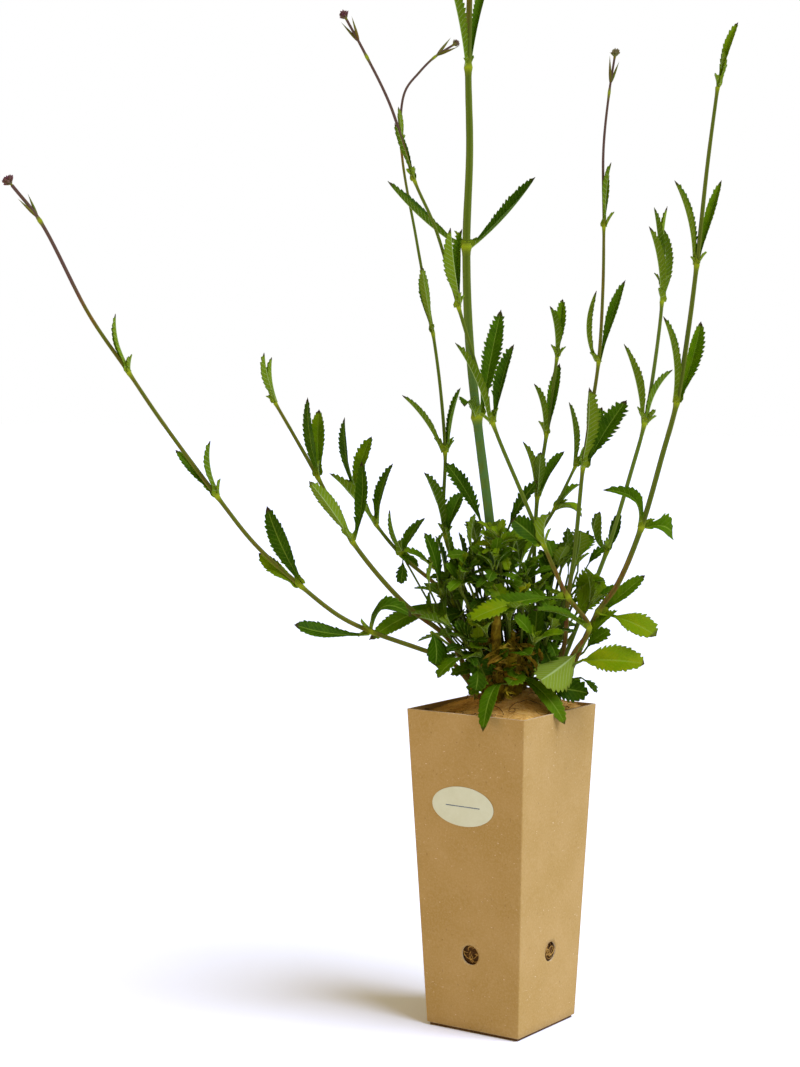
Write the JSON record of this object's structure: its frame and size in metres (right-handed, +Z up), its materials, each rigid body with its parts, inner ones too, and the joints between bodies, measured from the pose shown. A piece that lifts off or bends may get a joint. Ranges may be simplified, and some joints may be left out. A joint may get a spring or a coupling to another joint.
{
  "type": "potted verbena plant",
  "caption": "Tall open verbena with toothed leaves in opposite pairs and small bud heads, rooted in a square tapered board pot.",
  "frame": {"origin": "centre of the pot's flat underside, on the surface that it stands on", "axes": "+Z up along the pot and the plant; the pot's flat faces look along X and Y, with the label on the -Y face"},
  "size_m": [0.3872, 0.3598, 0.7664],
  "materials": {
    "board": "uncoated brown kraft board, matt, with fine fibres",
    "base_board": "damp darker kraft board, matt",
    "label_paper": "plain uncoated paper sticker, matt",
    "coir": "rough fibrous coir",
    "leafy_stem": "fresh green leaves and stems, finely hairy, semi-matt",
    "crown_leaf": "fresh green leaves, finely hairy, semi-matt",
    "bud_head": "dark maroon buds, matt"
  },
  "bodies": {
    "root": {"pot_sleeve": "board", "pot_base": "base_board", "plant_label": "label_paper", "root_ball": "coir", "stem_main": "leafy_stem", "head_main": "bud_head", "head_main_2": "bud_head", "head_main_3": "bud_head", "stem_mid_left": "leafy_stem", "head_mid_left": "bud_head", "stem_back_left": "leafy_stem", "head_back_left": "bud_head", "stem_far_left": "leafy_stem", "head_far_left": "bud_head", "stem_left_2": "leafy_stem", "stem_left_3": "leafy_stem", "stem_mid_right": "leafy_stem", "stem_mid_right_2": "leafy_stem", "stem_right_1": "leafy_stem", "head_right_1": "bud_head", "stem_right_2": "leafy_stem", "stem_right_3": "leafy_stem", "crown": "crown_leaf"}
  },
  "joints": []
}
